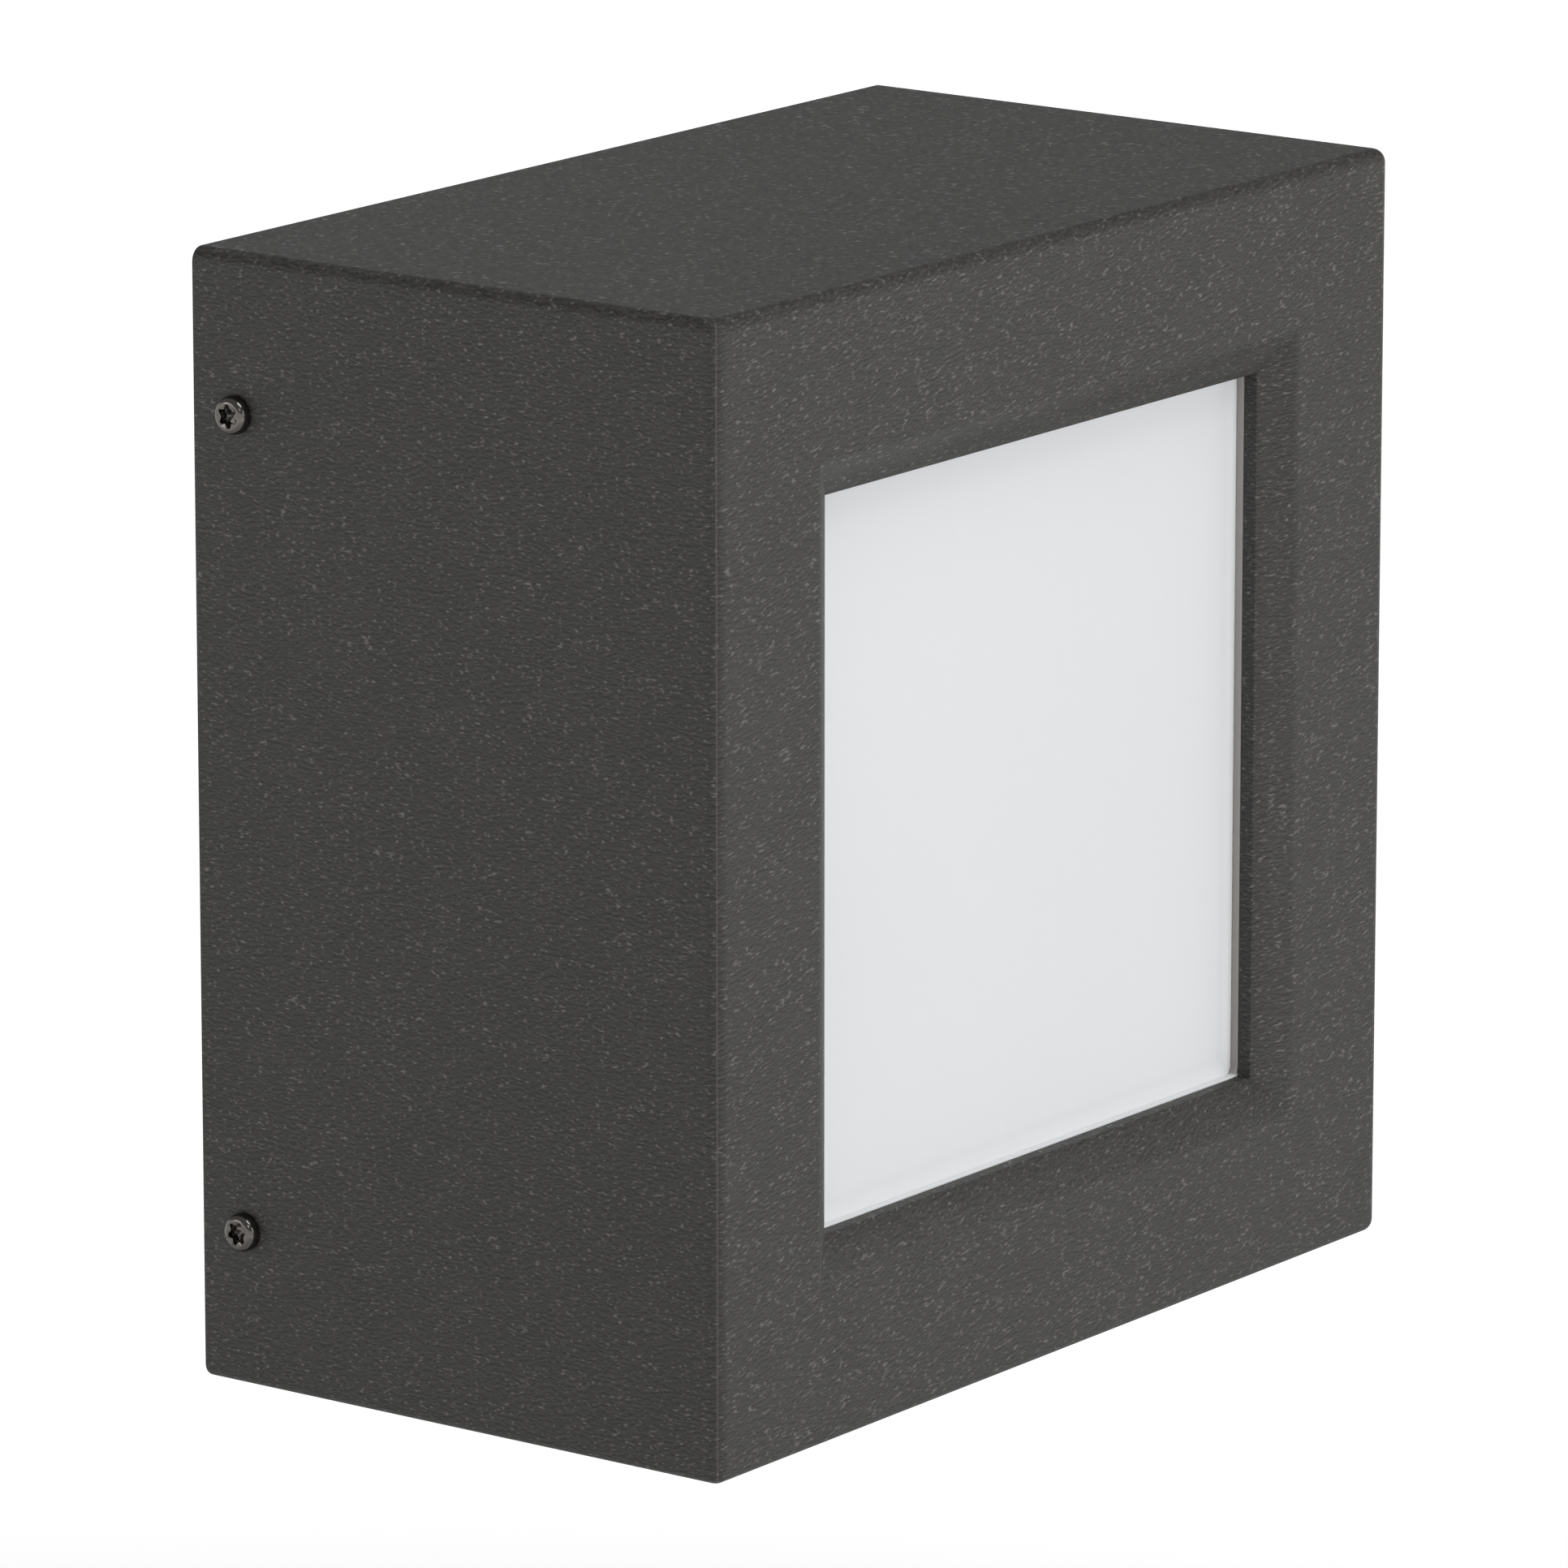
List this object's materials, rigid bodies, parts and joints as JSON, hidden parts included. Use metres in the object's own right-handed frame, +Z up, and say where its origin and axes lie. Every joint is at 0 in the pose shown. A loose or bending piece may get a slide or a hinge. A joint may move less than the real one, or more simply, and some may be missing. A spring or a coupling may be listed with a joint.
{
  "type": "outdoor wall lantern",
  "caption": "Square box-shaped outdoor wall lantern: bevelled window with white glass, pull-off cast cover held by side screws, wall plate with screw-in lamp.",
  "frame": {"origin": "middle of the cable entry, in the plane of the wall", "axes": "+X to the right seen from the front, +Y into the wall, +Z up"},
  "size_m": [0.2452, 0.135, 0.24],
  "materials": {
    "anthracite_coat": "anthracite powder coat with fine metallic flecks on cast aluminium",
    "base_coat": "anthracite powder coat on aluminium sheet",
    "foam_seal": "closed-cell foam strip",
    "black_rubber": "moulded rubber",
    "grey_silicone": "grey silicone profile",
    "opal_glass": "opal white glass, satin front",
    "clip_steel": "stainless sheet",
    "stainless_steel": "bright stainless steel",
    "zinc_steel": "zinc-plated steel",
    "lampholder_ceramic": "white steatite ceramic",
    "nickel_brass": "nickel-plated shell",
    "brass_contact": "brass",
    "tinned_copper": "tin plate",
    "terminal_plastic": "white moulded thermoplastic",
    "brown_lead": "brown silicone insulation",
    "blue_lead": "blue silicone insulation",
    "earth_lead": "green and yellow silicone insulation",
    "lamp_diffuser": "milky diffuser",
    "lamp_housing": "white lamp housing",
    "cap_glass": "black vitrite"
  },
  "bodies": {
    "base": {"base_plate": "base_coat", "wall_gasket": "foam_seal", "cable_grommet": "black_rubber", "lampholder_bracket": "zinc_steel", "bracket_screws": "zinc_steel", "lampholder_body": "lampholder_ceramic", "lampholder_screws": "zinc_steel", "lampholder_shell": "nickel_brass", "lampholder_contact": "brass_contact", "terminal_block": "terminal_plastic", "terminal_clamps": "brass_contact", "terminal_screws": "zinc_steel", "terminal_mount_screws": "zinc_steel", "earth_screw": "brass_contact", "earth_washer": "zinc_steel", "earth_ring": "tinned_copper", "line_lead": "brown_lead", "neutral_lead": "blue_lead", "earth_lead": "earth_lead"},
    "cover": {"cover_shell": "anthracite_coat", "glass_gasket": "grey_silicone", "glass_pane": "opal_glass", "glass_clip_top": "clip_steel", "glass_clip_bottom": "clip_steel", "glass_clip_left": "clip_steel", "glass_clip_right": "clip_steel", "clip_pads": "grey_silicone", "clip_screws": "zinc_steel", "clamp_nuts": "stainless_steel"},
    "lamp": {"lamp_globe": "lamp_diffuser", "lamp_collar": "lamp_housing", "lamp_cap": "nickel_brass", "lamp_insulator": "cap_glass", "lamp_contact": "tinned_copper"},
    "side_screw_left_upper": {"side_screw_left_upper": "stainless_steel"},
    "side_screw_left_lower": {"side_screw_left_lower": "stainless_steel"},
    "side_screw_right_upper": {"side_screw_right_upper": "stainless_steel"},
    "side_screw_right_lower": {"side_screw_right_lower": "stainless_steel"}
  },
  "joints": [
    {"name": "cover_pull", "type": "slide", "parent": "base", "child": "cover", "axis": [0, -1, 0], "range_m": [0, 0.15]},
    {"name": "lamp_unscrew", "type": "slide", "parent": "base", "child": "lamp", "axis": [0, 0, 1], "range_m": [0, 0.028]},
    {"name": "side_screw_left_upper_out", "type": "slide", "parent": "cover", "child": "side_screw_left_upper", "axis": [-1, 0, 0], "range_m": [0, 0.01]},
    {"name": "side_screw_left_lower_out", "type": "slide", "parent": "cover", "child": "side_screw_left_lower", "axis": [-1, 0, 0], "range_m": [0, 0.01]},
    {"name": "side_screw_right_upper_out", "type": "slide", "parent": "cover", "child": "side_screw_right_upper", "axis": [1, 0, 0], "range_m": [0, 0.01]},
    {"name": "side_screw_right_lower_out", "type": "slide", "parent": "cover", "child": "side_screw_right_lower", "axis": [1, 0, 0], "range_m": [0, 0.01]}
  ]
}
